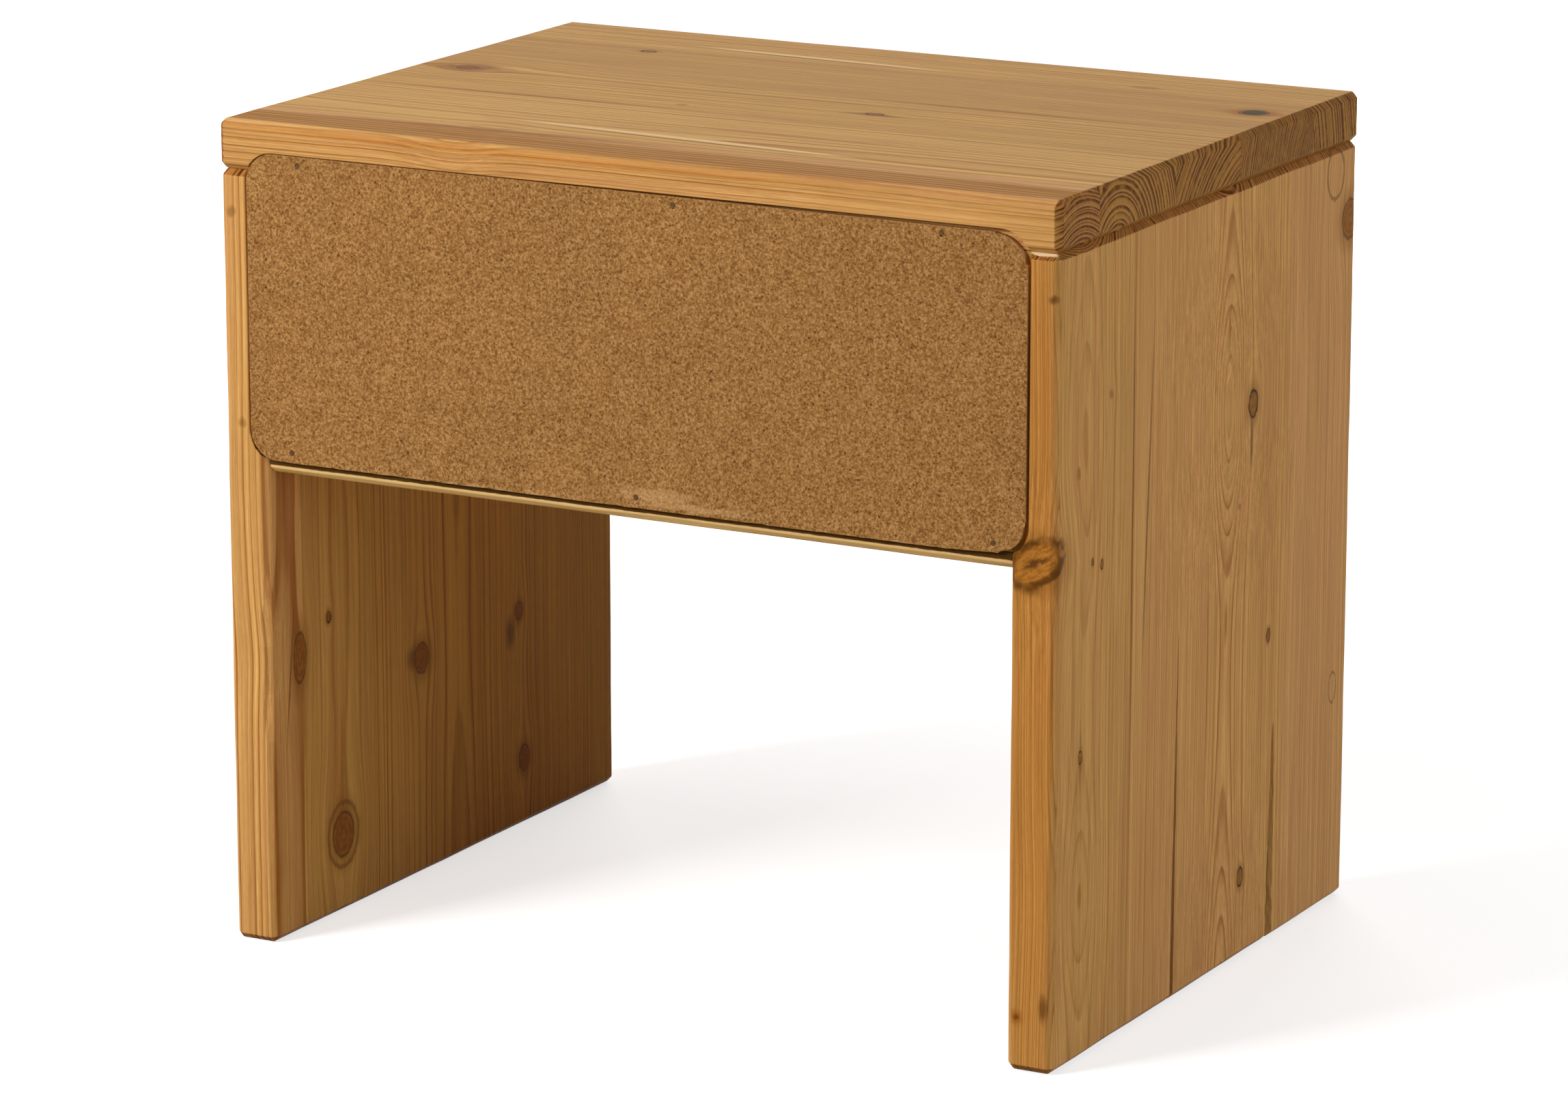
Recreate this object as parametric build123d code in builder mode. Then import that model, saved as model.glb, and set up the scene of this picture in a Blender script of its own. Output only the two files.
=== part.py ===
"""A pine nightstand with one drawer, built from edge-glued boards.

Frame: +Z up, X across, the drawer opens towards -Y and the hardboard back faces +Y.
The origin is on the floor, under the middle of the whole object with its knob. Sizes are millimetres.
"""

from build123d import *
from math import sqrt
import os

# Cabinet
width = 460
depth = 340
height = 420
top_thickness = 25
side_thickness = 24
side_inset = 0.5
shelf_thickness = 24
leg_space_height = 243.5
arris = 3

# Recess and panel at the back
recess_end_margin = 15
recess_depth = 3.5
recess_top_lap = 9.8
recess_shelf_drop = 18
recess_corner_radius = 16
panel_thickness = 3
panel_clearance = 0.5
panel_shift = 0.2
panel_tilt = 0.06

# Brads
brad_diameter = 1.4
brad_length = 20
brad_head_diameter = 2.6
brad_head_thickness = 0.8
brad_head_sink = 0.2
top_brad_end_distances = (46, 30)
top_brad_middle = -26
shelf_brad_end_distances = (18, 24)
shelf_brad_middle = -5

# Dowels that join the cabinet
dowel_diameter = 8
dowel_length = 40
dowel_end_chamfer = 1
dowel_clearance = 0.05
dowel_end_clearance = 1
top_dowel_depth = 15
top_dowel_count = 5
top_dowel_end_distance = 40
shelf_dowel_depth_in_side = 13
shelf_dowel_count = 4
shelf_dowel_end_distance = 45

# Drawer box
drawer_front_thickness = 20
drawer_front_setback = 2
drawer_front_arris = 2
drawer_side_gap = 1.5
drawer_front_bottom_gap = 1.5
drawer_top_gap = 2
drawer_running_gap = 0.3
drawer_side_thickness = 12
drawer_back_thickness = 12
drawer_box_arris = 1
drawer_rear_space = 16
drawer_back_drop = 6
bottom_thickness = 3
bottom_groove_depth = 6
bottom_groove_height = 8
bottom_groove_clearance = 0.1

# Drawer joints
drawer_dowel_diameter = 6
drawer_dowel_end_chamfer = 0.8
front_dowel_length = 28
front_dowel_depth_in_front = 12
back_dowel_length = 24
back_dowel_depth_in_side = 8
drawer_dowel_count = 3
drawer_dowel_edge_distance = 28
bottom_brad_length = 15
bottom_brad_count = 4
bottom_brad_end_distance = 40

# Knob and its screw
knob_length = 28
knob_radius = 17
knob_foot_radius = 11
knob_foot_height = 2
knob_neck_radius = 8
knob_neck_top = 11
knob_neck_top_radius = 10
knob_rim_height = 19
knob_rim_fillet = 2
screw_diameter = 4
screw_hole_clearance = 0.2
screw_depth_in_knob = 15
screw_head_diameter = 8
screw_head_thickness = 2.4
screw_head_chamfer = 0.8

# Stops behind the drawer front
stop_length = 40
stop_width = 20
stop_height = 6
stop_spacing = 240
stop_gap = 0.3
stop_brad_length = 16
stop_brad_spacing = 24

# Planes of the cabinet, worked out from the sizes above
rear_y = (depth + knob_length - drawer_front_setback) / 2
front_y = rear_y - depth
middle_y = (front_y + rear_y) / 2
top_underside = height - top_thickness
side_outer_x = width / 2 - side_inset
side_inner_x = side_outer_x - side_thickness
side_middle_x = side_outer_x - side_thickness / 2
shelf_top = leg_space_height + shelf_thickness
shelf_middle_z = leg_space_height + shelf_thickness / 2
recess_floor_y = rear_y - recess_depth
recess_top = top_underside + recess_top_lap
recess_bottom = shelf_top - recess_shelf_drop
recess_width = width - 2 * recess_end_margin
recess_height = recess_top - recess_bottom
recess_middle_z = (recess_top + recess_bottom) / 2

# Planes of the drawer
drawer_face_y = front_y + drawer_front_setback
drawer_front_back_y = drawer_face_y + drawer_front_thickness
drawer_rear_y = recess_floor_y - drawer_rear_space
drawer_outer_x = side_inner_x - drawer_side_gap
drawer_inner_x = drawer_outer_x - drawer_side_thickness
drawer_bottom_z = shelf_top + drawer_running_gap
drawer_front_z = shelf_top + drawer_front_bottom_gap
drawer_top_z = top_underside - drawer_top_gap
groove_bottom = drawer_bottom_z + bottom_groove_height
groove_top = groove_bottom + bottom_thickness + 2 * bottom_groove_clearance
bottom_underside = groove_bottom + bottom_groove_clearance
knob_z = (drawer_front_z + drawer_top_z) / 2


def spread(first, last, count):
    """Evenly spaced values from first to last."""
    step = (last - first) / (count - 1)
    return [first + step * index for index in range(count)]


def cut_recess():
    """Routs the rounded recess for the back panel into the rear face of the part being built."""
    with BuildSketch(Plane.XZ.offset(-rear_y)) as outline:
        with Locations((0, recess_middle_z)):
            RectangleRounded(recess_width, recess_height, recess_corner_radius)
    extrude(outline.sketch, amount=recess_depth, mode=Mode.SUBTRACT)


def cut_holes(plane, points, diameter, hole_depth):
    """Drills blind holes into the part being built, from the plane along its normal."""
    with BuildSketch(plane) as outline:
        with Locations(*points):
            Circle(diameter / 2)
    extrude(outline.sketch, amount=hole_depth, mode=Mode.SUBTRACT)


def add_dowels(plane, points, diameter, length, end_chamfer):
    """Adds chamfered dowels to the part being built, from the plane along its normal."""
    with BuildSketch(plane) as outline:
        with Locations(*points):
            Circle(diameter / 2)
    extrude(outline.sketch, amount=length)
    chamfer(edges().filter_by(GeomType.CIRCLE), end_chamfer)


def add_brads(plane, points, length):
    """Adds brads whose heads start at the plane and whose shanks end one length along its normal."""
    for diameter, reach in ((brad_head_diameter, brad_head_thickness), (brad_diameter, length)):
        with BuildSketch(plane) as outline:
            with Locations(*points):
                Circle(diameter / 2)
        extrude(outline.sketch, amount=reach)


os.makedirs("parts", exist_ok=True)

# Hole patterns that two pieces share
top_dowel_ys = spread(
    front_y + top_dowel_end_distance,
    rear_y - top_dowel_end_distance,
    top_dowel_count,
)
shelf_dowel_ys = spread(
    front_y + shelf_dowel_end_distance,
    recess_floor_y - shelf_dowel_end_distance,
    shelf_dowel_count,
)
shelf_dowel_points = [(y, shelf_middle_z) for y in shelf_dowel_ys]
panel_half_width = recess_width / 2 - panel_clearance
top_brad_z = (top_underside + recess_top) / 2
top_brad_points = [
    (-panel_half_width + top_brad_end_distances[0], top_brad_z),
    (top_brad_middle, top_brad_z),
    (panel_half_width - top_brad_end_distances[1], top_brad_z),
]
shelf_brad_points = [
    (-panel_half_width + shelf_brad_end_distances[0], shelf_middle_z),
    (shelf_brad_middle, shelf_middle_z),
    (panel_half_width - shelf_brad_end_distances[1], shelf_middle_z),
]
brad_head_y = recess_floor_y + panel_thickness - brad_head_sink
brad_hole_depth = brad_length - (brad_head_y - recess_floor_y)

# Top board
with BuildPart() as top_board:
    with Locations((0, middle_y, height - top_thickness / 2)):
        Box(width, depth, top_thickness)
    chamfer(top_board.edges(), arris)
    cut_recess()
    cut_holes(
        Plane.XY.offset(top_underside),
        [(side * side_middle_x, y) for side in (-1, 1) for y in top_dowel_ys],
        dowel_diameter + 2 * dowel_clearance,
        top_dowel_depth + dowel_end_clearance,
    )
    cut_holes(Plane.XZ.offset(-recess_floor_y), top_brad_points, brad_diameter, brad_hole_depth)
top_board.part.label = "top_board"
export_step(top_board.part, "parts/top_board.step")

# Side boards, which are also the legs
for side_name, side in (("left", -1), ("right", 1)):
    with BuildPart() as side_board:
        with Locations((side * side_middle_x, middle_y, top_underside / 2)):
            Box(side_thickness, depth, top_underside)
        chamfer(side_board.edges(), arris)
        cut_recess()
        cut_holes(
            Plane.XY.offset(top_underside),
            [(side * side_middle_x, y) for y in top_dowel_ys],
            dowel_diameter + 2 * dowel_clearance,
            -(dowel_length - top_dowel_depth + dowel_end_clearance),
        )
        cut_holes(
            Plane.YZ.offset(side * side_inner_x),
            shelf_dowel_points,
            dowel_diameter + 2 * dowel_clearance,
            side * (shelf_dowel_depth_in_side + dowel_end_clearance),
        )
    side_board.part.label = f"{side_name}_side_board"
    export_step(side_board.part, f"parts/{side_name}_side_board.step")

# Shelf under the drawer
stop_y = drawer_front_back_y + stop_gap
stop_xs = [-stop_spacing / 2, stop_spacing / 2]
stop_brad_points = [
    (x + offset, stop_y + stop_width / 2)
    for x in stop_xs
    for offset in (-stop_brad_spacing / 2, stop_brad_spacing / 2)
]
stop_brad_head_z = shelf_top + stop_height - brad_head_sink
shelf_depth = recess_floor_y - front_y
with BuildPart() as drawer_shelf:
    with Locations((0, front_y + shelf_depth / 2, shelf_middle_z)):
        Box(2 * side_inner_x, shelf_depth, shelf_thickness)
    chamfer(drawer_shelf.edges().filter_by(Axis.X), arris)
    for side in (-1, 1):
        cut_holes(
            Plane.YZ.offset(side * side_inner_x),
            shelf_dowel_points,
            dowel_diameter + 2 * dowel_clearance,
            -side * (dowel_length - shelf_dowel_depth_in_side + dowel_end_clearance),
        )
    cut_holes(Plane.XZ.offset(-recess_floor_y), shelf_brad_points, brad_diameter, brad_hole_depth)
    cut_holes(
        Plane.XY.offset(shelf_top),
        stop_brad_points,
        brad_diameter,
        stop_brad_head_z - stop_brad_length - shelf_top,
    )
drawer_shelf.part.label = "drawer_shelf"
export_step(drawer_shelf.part, "parts/drawer_shelf.step")

# Hardboard back panel, lying on the recess floor
with BuildPart() as back_panel:
    with BuildSketch(Plane.XZ.offset(-recess_floor_y)):
        with Locations((panel_shift, recess_middle_z)):
            RectangleRounded(
                recess_width - 2 * panel_clearance,
                recess_height - 2 * panel_clearance,
                recess_corner_radius - panel_clearance,
                rotation=panel_tilt,
            )
    extrude(amount=-panel_thickness)
    cut_holes(
        Plane.XZ.offset(-recess_floor_y - panel_thickness),
        top_brad_points + shelf_brad_points,
        brad_head_diameter,
        brad_head_sink + brad_head_thickness,
    )
    cut_holes(
        Plane.XZ.offset(-recess_floor_y - panel_thickness),
        top_brad_points + shelf_brad_points,
        brad_diameter,
        panel_thickness,
    )
back_panel.part.label = "back_panel"
export_step(back_panel.part, "parts/back_panel.step")

with BuildPart() as back_panel_brads:
    add_brads(Plane.XZ.offset(-brad_head_y), top_brad_points + shelf_brad_points, brad_length)
back_panel_brads.part.label = "back_panel_brads"
export_step(back_panel_brads.part, "parts/back_panel_brads.step")

# Dowels of the cabinet
with BuildPart() as top_dowels:
    add_dowels(
        Plane.XY.offset(top_underside + top_dowel_depth - dowel_length),
        [(side * side_middle_x, y) for side in (-1, 1) for y in top_dowel_ys],
        dowel_diameter,
        dowel_length,
        dowel_end_chamfer,
    )
top_dowels.part.label = "top_dowels"
export_step(top_dowels.part, "parts/top_dowels.step")

with BuildPart() as shelf_dowels:
    add_dowels(
        Plane.YZ.offset(side_inner_x + shelf_dowel_depth_in_side - dowel_length),
        shelf_dowel_points,
        dowel_diameter,
        dowel_length,
        dowel_end_chamfer,
    )
    mirror(about=Plane.YZ)
shelf_dowels.part.label = "shelf_dowels"
export_step(shelf_dowels.part, "parts/shelf_dowels.step")

# Blocks that stop the drawer front when it is pushed in
with BuildPart() as drawer_stop_blocks:
    with Locations(*[(x, stop_y + stop_width / 2, shelf_top + stop_height / 2) for x in stop_xs]):
        Box(stop_length, stop_width, stop_height)
    cut_holes(
        Plane.XY.offset(shelf_top + stop_height),
        stop_brad_points,
        brad_head_diameter,
        -(brad_head_sink + brad_head_thickness),
    )
    cut_holes(Plane.XY.offset(shelf_top + stop_height), stop_brad_points, brad_diameter, -stop_height)
drawer_stop_blocks.part.label = "drawer_stop_blocks"
export_step(drawer_stop_blocks.part, "parts/drawer_stop_blocks.step")

down_from_stop = Plane(origin=(0, 0, stop_brad_head_z), x_dir=(1, 0, 0), z_dir=(0, 0, -1))
with BuildPart() as drawer_stop_brads:
    add_brads(down_from_stop, [(x, -y) for x, y in stop_brad_points], stop_brad_length)
drawer_stop_brads.part.label = "drawer_stop_brads"
export_step(drawer_stop_brads.part, "parts/drawer_stop_brads.step")

# Patterns that the drawer's pieces share
corner_dowel_zs = spread(
    drawer_bottom_z + drawer_dowel_edge_distance,
    drawer_top_z - drawer_dowel_edge_distance,
    drawer_dowel_count,
)
side_board_middle_x = (drawer_outer_x + drawer_inner_x) / 2
front_dowel_points = [(side * side_board_middle_x, z) for side in (-1, 1) for z in corner_dowel_zs]
back_dowel_points = [(drawer_rear_y - drawer_back_thickness / 2, z) for z in corner_dowel_zs]

# Drawer front, grooved at the back for the drawer's bottom
with BuildPart() as drawer_front:
    with Locations((0, drawer_face_y + drawer_front_thickness / 2, (drawer_front_z + drawer_top_z) / 2)):
        Box(2 * drawer_outer_x, drawer_front_thickness, drawer_top_z - drawer_front_z)
    chamfer(drawer_front.faces().sort_by(Axis.Y)[0].edges(), drawer_front_arris)
    with Locations((0, drawer_front_back_y - bottom_groove_depth / 2, (groove_bottom + groove_top) / 2)):
        Box(
            2 * (drawer_inner_x + bottom_groove_depth),
            bottom_groove_depth,
            groove_top - groove_bottom,
            mode=Mode.SUBTRACT,
        )
    cut_holes(
        Plane.XZ.offset(-drawer_front_back_y),
        front_dowel_points,
        drawer_dowel_diameter + 2 * dowel_clearance,
        front_dowel_depth_in_front + dowel_end_clearance,
    )
    cut_holes(
        Plane.XZ.offset(-drawer_front_back_y),
        [(0, knob_z)],
        screw_diameter + 2 * screw_hole_clearance,
        drawer_front_thickness,
    )
drawer_front.part.label = "drawer_front"
export_step(drawer_front.part, "parts/drawer_front.step")

# Drawer sides, which slide on the shelf
side_length = drawer_rear_y - drawer_front_back_y
for side_name, side in (("left", -1), ("right", 1)):
    with BuildPart() as drawer_side:
        with Locations(
            (
                side * side_board_middle_x,
                drawer_front_back_y + side_length / 2,
                (drawer_bottom_z + drawer_top_z) / 2,
            )
        ):
            Box(drawer_side_thickness, side_length, drawer_top_z - drawer_bottom_z)
        chamfer(drawer_side.edges().filter_by(Axis.Y), drawer_box_arris)
        with Locations(
            (
                side * (drawer_inner_x + bottom_groove_depth / 2),
                drawer_front_back_y + side_length / 2,
                (groove_bottom + groove_top) / 2,
            )
        ):
            Box(bottom_groove_depth, side_length, groove_top - groove_bottom, mode=Mode.SUBTRACT)
        cut_holes(
            Plane.XZ.offset(-drawer_front_back_y),
            [point for point in front_dowel_points if point[0] * side > 0],
            drawer_dowel_diameter + 2 * dowel_clearance,
            -(front_dowel_length - front_dowel_depth_in_front + dowel_end_clearance),
        )
        cut_holes(
            Plane.YZ.offset(side * drawer_inner_x),
            back_dowel_points,
            drawer_dowel_diameter + 2 * dowel_clearance,
            side * (back_dowel_depth_in_side + dowel_end_clearance),
        )
    drawer_side.part.label = f"drawer_{side_name}_side"
    export_step(drawer_side.part, f"parts/drawer_{side_name}_side.step")

# Drawer back, which stands on the bottom and is nailed through it
back_top = drawer_top_z - drawer_back_drop
bottom_top = bottom_underside + bottom_thickness
bottom_brad_xs = spread(
    -drawer_inner_x + bottom_brad_end_distance,
    drawer_inner_x - bottom_brad_end_distance,
    bottom_brad_count,
)
bottom_brad_points = [(x, drawer_rear_y - drawer_back_thickness / 2) for x in bottom_brad_xs]
bottom_brad_head_z = bottom_underside + brad_head_sink
with BuildPart() as drawer_back:
    with Locations((0, drawer_rear_y - drawer_back_thickness / 2, (bottom_top + back_top) / 2)):
        Box(2 * drawer_inner_x, drawer_back_thickness, back_top - bottom_top)
    chamfer(drawer_back.faces().sort_by(Axis.Z)[-1].edges().filter_by(Axis.X), drawer_box_arris)
    for side in (-1, 1):
        cut_holes(
            Plane.YZ.offset(side * drawer_inner_x),
            back_dowel_points,
            drawer_dowel_diameter + 2 * dowel_clearance,
            -side * (back_dowel_length - back_dowel_depth_in_side + dowel_end_clearance),
        )
    cut_holes(
        Plane.XY.offset(bottom_top),
        bottom_brad_points,
        brad_diameter,
        bottom_brad_head_z + bottom_brad_length - bottom_top,
    )
drawer_back.part.label = "drawer_back"
export_step(drawer_back.part, "parts/drawer_back.step")

# Drawer bottom, in the grooves of the front and the sides
bottom_half_width = drawer_inner_x + bottom_groove_depth - bottom_groove_clearance
bottom_front_y = drawer_front_back_y - bottom_groove_depth + bottom_groove_clearance
with BuildPart() as drawer_bottom:
    with Locations((0, (bottom_front_y + drawer_rear_y) / 2, (bottom_underside + bottom_top) / 2)):
        Box(2 * bottom_half_width, drawer_rear_y - bottom_front_y, bottom_thickness)
    cut_holes(
        Plane.XY.offset(bottom_underside),
        bottom_brad_points,
        brad_head_diameter,
        brad_head_sink + brad_head_thickness,
    )
    cut_holes(Plane.XY.offset(bottom_underside), bottom_brad_points, brad_diameter, bottom_thickness)
drawer_bottom.part.label = "drawer_bottom"
export_step(drawer_bottom.part, "parts/drawer_bottom.step")

with BuildPart() as drawer_bottom_brads:
    add_brads(Plane.XY.offset(bottom_brad_head_z), bottom_brad_points, bottom_brad_length)
drawer_bottom_brads.part.label = "drawer_bottom_brads"
export_step(drawer_bottom_brads.part, "parts/drawer_bottom_brads.step")

# Dowels of the drawer's corners
with BuildPart() as drawer_front_dowels:
    add_dowels(
        Plane.XZ.offset(-drawer_front_back_y + front_dowel_depth_in_front - front_dowel_length),
        front_dowel_points,
        drawer_dowel_diameter,
        front_dowel_length,
        drawer_dowel_end_chamfer,
    )
drawer_front_dowels.part.label = "drawer_front_dowels"
export_step(drawer_front_dowels.part, "parts/drawer_front_dowels.step")

with BuildPart() as drawer_back_dowels:
    add_dowels(
        Plane.YZ.offset(drawer_inner_x + back_dowel_depth_in_side - back_dowel_length),
        back_dowel_points,
        drawer_dowel_diameter,
        back_dowel_length,
        drawer_dowel_end_chamfer,
    )
    mirror(about=Plane.YZ)
drawer_back_dowels.part.label = "drawer_back_dowels"
export_step(drawer_back_dowels.part, "parts/drawer_back_dowels.step")

# Turned knob: a foot, a waisted neck and a domed head, bored for its screw
dome_height = knob_length - knob_rim_height
dome_radius = (knob_radius**2 + dome_height**2) / (2 * dome_height)
dome_middle = knob_length - dome_radius + sqrt(dome_radius**2 - (knob_radius / 2) ** 2)
knob_plane = Plane(origin=(0, drawer_face_y, knob_z), x_dir=(1, 0, 0), z_dir=(0, 0, -1))
with BuildPart() as drawer_knob:
    with BuildSketch(knob_plane):
        with BuildLine():
            Polyline((knob_neck_top_radius, knob_neck_top), (knob_radius, knob_rim_height))
            ThreePointArc((knob_radius, knob_rim_height), (knob_radius / 2, dome_middle), (0, knob_length))
            Polyline((0, knob_length), (0, 0), (knob_foot_radius, 0), (knob_foot_radius, knob_foot_height))
            ThreePointArc(
                (knob_foot_radius, knob_foot_height),
                (knob_neck_radius, (knob_foot_height + knob_neck_top) / 2),
                (knob_neck_top_radius, knob_neck_top),
            )
        make_face()
    revolve(axis=Axis((0, drawer_face_y, knob_z), (0, 1, 0)))
    fillet(drawer_knob.edges().filter_by(GeomType.CIRCLE).sort_by(SortBy.LENGTH)[-1], knob_rim_fillet)
    cut_holes(Plane.XZ.offset(-drawer_face_y), [(0, knob_z)], screw_diameter, screw_depth_in_knob)
drawer_knob.part.label = "drawer_knob"
export_step(drawer_knob.part, "parts/drawer_knob.step")

with BuildPart() as drawer_knob_screw:
    with BuildSketch(Plane.XZ.offset(-drawer_front_back_y)):
        with Locations((0, knob_z)):
            Circle(screw_head_diameter / 2)
    extrude(amount=-screw_head_thickness)
    with BuildSketch(Plane.XZ.offset(-drawer_front_back_y)):
        with Locations((0, knob_z)):
            Circle(screw_diameter / 2)
    extrude(amount=drawer_front_thickness + screw_depth_in_knob)
    chamfer(drawer_knob_screw.faces().sort_by(Axis.Y)[-1].edges(), screw_head_chamfer)
drawer_knob_screw.part.label = "drawer_knob_screw"
export_step(drawer_knob_screw.part, "parts/drawer_knob_screw.step")
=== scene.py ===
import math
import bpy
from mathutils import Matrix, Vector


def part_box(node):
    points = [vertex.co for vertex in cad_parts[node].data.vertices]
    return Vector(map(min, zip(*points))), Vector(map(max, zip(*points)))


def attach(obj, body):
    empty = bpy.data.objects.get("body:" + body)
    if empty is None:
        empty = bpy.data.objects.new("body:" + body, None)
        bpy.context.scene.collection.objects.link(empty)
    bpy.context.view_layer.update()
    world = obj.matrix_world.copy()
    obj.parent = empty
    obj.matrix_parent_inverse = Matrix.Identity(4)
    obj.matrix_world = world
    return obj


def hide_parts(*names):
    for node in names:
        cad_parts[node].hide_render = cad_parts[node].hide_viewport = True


bl_info = {
    "name": "Pine Nightstand",
    "version": (1, 0, 0),
    "blender": (4, 5, 0),
    "location": "View3D > Sidebar > Nightstand",
    "description": "Dresses the packed nightstand frame: glued pine boards, hardboard back, drawer and studio",
    "category": "Object",
}

import bmesh
import bpy
from bpy.props import FloatProperty, FloatVectorProperty, PointerProperty
from mathutils import Vector, noise

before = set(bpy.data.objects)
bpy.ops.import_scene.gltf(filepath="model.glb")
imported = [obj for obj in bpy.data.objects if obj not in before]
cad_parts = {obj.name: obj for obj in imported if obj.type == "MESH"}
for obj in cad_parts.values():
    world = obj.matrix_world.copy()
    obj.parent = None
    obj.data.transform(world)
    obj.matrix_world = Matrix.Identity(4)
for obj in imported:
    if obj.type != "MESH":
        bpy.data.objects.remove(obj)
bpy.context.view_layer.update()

# The bench is how a maker measures the piece from behind, in millimetres: u runs along the back from the
# end on the right of someone who faces the drawer, v runs from the back towards the drawer, w runs up.
MM = 0.001
BENCH_SCALE = (-1000.0, -1000.0, 1000.0)
BENCH_ORIGIN = (230.0, 183.0, 0.0)
U, V, W = 0, 1, 2
LEFT_FACE = 459.5  # where the outer face of the left side board lies along u
WHOLE = 999  # longer than any board: closes the last stave, and lets a mark run from end to end
FAR = 99.0  # further away than anything that still counts
SAME_POINT = 1e-6  # metres between two points that are one
SENSOR_WIDTH = 36  # millimetres


def paint(red, green, blue):
    """A colour given in display steps from 0 to 255, as the linear values that Blender stores."""
    shares = (step / 255 for step in (red, green, blue))
    return tuple(s / 12.92 if s <= 0.04045 else ((s + 0.055) / 1.055) ** 2.4 for s in shares)


def from_bench(u, v, w):
    """A bench point in millimetres as a point of the frame in metres."""
    return Vector(((BENCH_ORIGIN[0] - u) * MM, (BENCH_ORIGIN[1] - v) * MM, w * MM))


# How strong each kind of mark is, how much of it is full strength, and its colour. dark is also used for painted
# shade and painted shadows, and pale also for painted light.
STAINS_AND_PAINTED_LIGHT = {
    "olive": (1.0, 0.3, paint(156, 101, 28)),
    "light": (0.4, 0.1, paint(232, 178, 108)),
    "pale": (1.5, 0.5, paint(240, 198, 138)),
    "cream": (1.5, 0.6, paint(238, 212, 168)),
    "orange": (0.75, 0.2, paint(168, 102, 36)),
    "brown": (0.75, 0.2, paint(108, 68, 30)),
    "dark": (1.3, 0.35, paint(40, 24, 10)),
    # Painted shadow: the shadow that the back panel's lower edge casts on the shelf's rear edge
    "grime": (1.05, 0.75, paint(80, 54, 20)),
}

# Glazes darken or warm the wood under them and let its grain through: strength, inner, what they multiply by
GLAZES = {
    "dusk": (0.8, 0.1, (0.9, 0.87, 0.84)),
    "amber": (1.0, 0.45, (0.97, 0.84, 0.66)),
}

# Colours of small details in the pine
DETAIL = {
    "end_ring": paint(104, 58, 20),
    "band_dark": paint(156, 97, 0),
    "band_pale": paint(222, 170, 90),
    "oval_rim": paint(112, 68, 28),
    "knot_halo": paint(146, 90, 26),
    "knot_outline": paint(84, 50, 14),
    "resin_pale": paint(204, 134, 56),
    "resin_dark": paint(146, 88, 30),
    "resin_blot": paint(96, 60, 28),
    "brow": paint(104, 62, 22),
    "putty_speck": paint(50, 42, 12),
}


class PineFinish(bpy.types.PropertyGroup):
    """Colours and sheen of the lacquered pine"""

    early_wood: FloatVectorProperty(
        name="Early wood", description="Pale wood between the dark lines of the rings",
        subtype="COLOR", size=3, min=0, max=1, default=paint(209, 155, 90))
    late_wood: FloatVectorProperty(
        name="Late wood", description="Dark lines of the rings",
        subtype="COLOR", size=3, min=0, max=1, default=paint(158, 96, 38))
    rosy_wood: FloatVectorProperty(
        name="Rosy wood", description="Warm streaks",
        subtype="COLOR", size=3, min=0, max=1, default=paint(206, 144, 88))
    straw_wood: FloatVectorProperty(
        name="Straw wood", description="Yellow streaks",
        subtype="COLOR", size=3, min=0, max=1, default=paint(205, 154, 86))
    knot: FloatVectorProperty(
        name="Knot", description="Wood inside a knot",
        subtype="COLOR", size=3, min=0, max=1, default=paint(118, 68, 20))
    knot_heart: FloatVectorProperty(
        name="Knot heart", description="Pale wood at the middle of a knot",
        subtype="COLOR", size=3, min=0, max=1, default=paint(176, 112, 40))
    knot_rim: FloatVectorProperty(
        name="Knot rim", description="Bark ring of a dead knot",
        subtype="COLOR", size=3, min=0, max=1, default=paint(40, 25, 8))
    filler: FloatVectorProperty(
        name="Filler", description="Putty in a filled knot",
        subtype="COLOR", size=3, min=0, max=1, default=paint(74, 62, 28))
    sheen_roughness: FloatProperty(
        name="Roughness", description="Roughness of the satin lacquer",
        min=0.2, max=0.8, default=0.46, subtype="FACTOR")
    relief: FloatProperty(
        name="Grain relief", description="Strength of the raised grain",
        min=0, max=1, default=0.25, subtype="FACTOR")


class HardboardFinish(bpy.types.PropertyGroup):
    """Colours of the pressed hardboard"""

    ground: FloatVectorProperty(
        name="Ground", description="Middle brown of the pressed fibres",
        subtype="COLOR", size=3, min=0, max=1, default=paint(162, 113, 61))
    pale_fibre: FloatVectorProperty(
        name="Pale fibre", description="Lightest fibres and the sawn edge",
        subtype="COLOR", size=3, min=0, max=1, default=paint(198, 152, 98))
    dark_fibre: FloatVectorProperty(
        name="Dark fibre", description="Darkest fibres",
        subtype="COLOR", size=3, min=0, max=1, default=paint(104, 66, 28))


class BoardShape(bpy.types.PropertyGroup):
    """Small shapes left by the tools"""

    soft_edge: FloatProperty(
        name="Soft edge", description="Width of the rounding on every corner",
        min=0.0001, max=0.002, default=0.0005, subtype="DISTANCE", unit="LENGTH")
    wander: FloatProperty(
        name="Wander", description="How far an arris wanders inwards along a board",
        min=0, max=0.002, default=0.0006, subtype="DISTANCE", unit="LENGTH")
    long_check: FloatProperty(
        name="Long check", description="Width at the foot of the longer check in the left side board",
        min=0, max=0.01, default=0.0036, subtype="DISTANCE", unit="LENGTH")
    short_check: FloatProperty(
        name="Short check", description="Width at the foot of the shorter check in the left side board",
        min=0, max=0.01, default=0.0082, subtype="DISTANCE", unit="LENGTH")


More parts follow.
